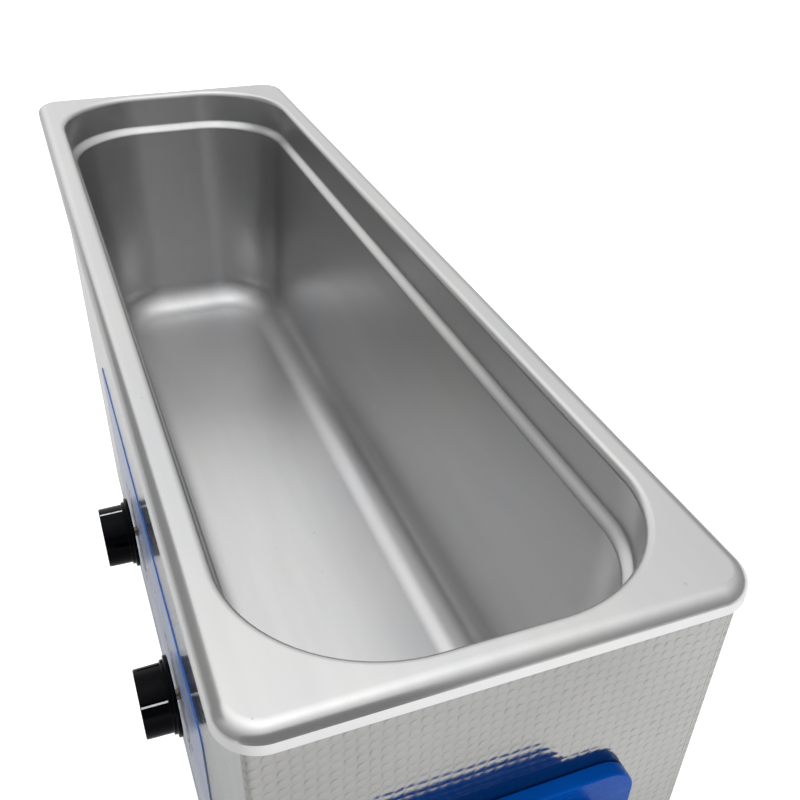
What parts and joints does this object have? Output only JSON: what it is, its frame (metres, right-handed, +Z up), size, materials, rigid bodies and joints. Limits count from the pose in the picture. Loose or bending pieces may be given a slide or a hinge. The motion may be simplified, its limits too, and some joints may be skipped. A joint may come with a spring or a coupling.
{
  "type": "ultrasonic cleaner",
  "caption": "Long heated ultrasonic bath: deep stainless tank in an embossed steel housing with end handles, a timer knob and a thermostat knob.",
  "frame": {"origin": "on the resting surface, at the centre of the object's box seen from above", "axes": "+X towards the right-hand end seen from the front, -Y towards the front with the knobs, +Z up"},
  "size_m": [0.565, 0.1772, 0.322],
  "materials": {
    "satin_steel": "satin deep-drawn stainless steel",
    "embossed_steel": "stainless sheet with a fine embossed linen pattern",
    "plain_steel": "plain stainless sheet",
    "zinc_steel": "bright zinc-plated fasteners",
    "black_rubber": "matt black rubber",
    "grey_silicone": "grey silicone seal",
    "blue_plastic": "glossy blue moulded plastic",
    "black_plastic": "glossy black moulded plastic",
    "white_inlay": "white pointer inlay",
    "label_film": "glossy printed label film, blue border on silver",
    "lamp_lens": "tinted indicator lens",
    "shaft_brass": "bright brass",
    "control_case": "cream phenolic case",
    "dark_case": "dark phenolic case",
    "copper_tube": "drawn copper",
    "horn_aluminium": "turned aluminium",
    "piezo_ceramic": "fired lead zirconate ceramic",
    "back_steel": "turned steel",
    "heater_film": "heater mat",
    "board_green": "glass-fibre circuit board",
    "sink_aluminium": "black anodised aluminium",
    "ferrite": "sintered ferrite",
    "winding_tape": "taped copper winding",
    "capacitor_sleeve": "shrink sleeve",
    "film_box": "boxed film capacitor",
    "terminal_green": "moulded terminal block",
    "lead_red": "insulated lead",
    "lead_brown": "insulated lead",
    "guard_chrome": "chromed wire",
    "pin_brass": "nickel-plated brass",
    "rocker_green": "translucent green rocker",
    "fuse_glass": "glass fuse tube"
  },
  "bodies": {
    "housing": {"tank": "satin_steel", "rim_seal": "grey_silicone", "rim_studs": "zinc_steel", "rim_nuts": "zinc_steel", "corner_gussets": "plain_steel", "housing_shell": "embossed_steel", "rear_panel": "embossed_steel", "rear_panel_screws": "zinc_steel", "base_plate": "plain_steel", "base_screws": "zinc_steel", "feet": "black_rubber", "foot_bolts": "zinc_steel", "front_label": "label_film", "pilot_lamps": "lamp_lens", "handle_right": "blue_plastic", "handle_left": "blue_plastic", "handle_screws": "zinc_steel", "timer_body": "control_case", "thermostat_body": "dark_case", "control_studs": "zinc_steel", "control_nuts": "zinc_steel", "thermostat_bulb": "copper_tube", "thermostat_capillary": "copper_tube", "bulb_clips": "plain_steel", "transducer_horns": "horn_aluminium", "piezo_rings": "piezo_ceramic", "electrode_discs": "copper_tube", "transducer_back_masses": "back_steel", "transducer_bolts": "back_steel", "transducer_leads": "lead_red", "heater_pads": "heater_film", "overheat_cutout": "dark_case", "generator_board": "board_green", "board_standoffs": "pin_brass", "board_screws": "zinc_steel", "heat_sink": "sink_aluminium", "power_transistors": "dark_case", "transformer_core": "ferrite", "transformer_winding": "winding_tape", "filter_capacitors": "capacitor_sleeve", "film_capacitors": "film_box", "terminal_blocks": "terminal_green", "mains_leads": "lead_brown", "fan_frame": "black_plastic", "fan_guard": "guard_chrome", "fan_screws": "zinc_steel", "inlet_body": "black_plastic", "inlet_pins": "pin_brass", "inlet_screws": "zinc_steel"},
    "timer": {"timer_knob": "black_plastic", "timer_pointer": "white_inlay", "timer_shaft": "shaft_brass"},
    "thermostat": {"thermostat_knob": "black_plastic", "thermostat_pointer": "white_inlay", "thermostat_shaft": "shaft_brass"},
    "rocker": {"power_rocker": "rocker_green"},
    "fan": {"fan_rotor": "black_plastic"},
    "drawer": {"fuse_drawer": "black_plastic", "fuses": "fuse_glass"}
  },
  "joints": [
    {"name": "timer_turn", "type": "hinge", "parent": "housing", "child": "timer", "pos_m": [-0.073, -0.0674, 0.107], "axis": [0, 1, 0], "range_deg": [0, 300]},
    {"name": "thermostat_turn", "type": "hinge", "parent": "housing", "child": "thermostat", "pos_m": [0.065, -0.0674, 0.107], "axis": [0, 1, 0], "range_deg": [-47, 253]},
    {"name": "rocker_tilt", "type": "hinge", "parent": "housing", "child": "rocker", "pos_m": [0.15, 0.0836, 0.0945], "axis": [-1, 0, 0], "range_deg": [0, 20]},
    {"name": "fan_spin", "type": "hinge", "parent": "housing", "child": "fan", "pos_m": [-0.12, 0.0816, 0.075], "axis": [0, 1, 0], "continuous": true},
    {"name": "fuse_drawer_slide", "type": "slide", "parent": "housing", "child": "drawer", "axis": [0, 1, 0], "range_m": [0, 0.02]}
  ]
}
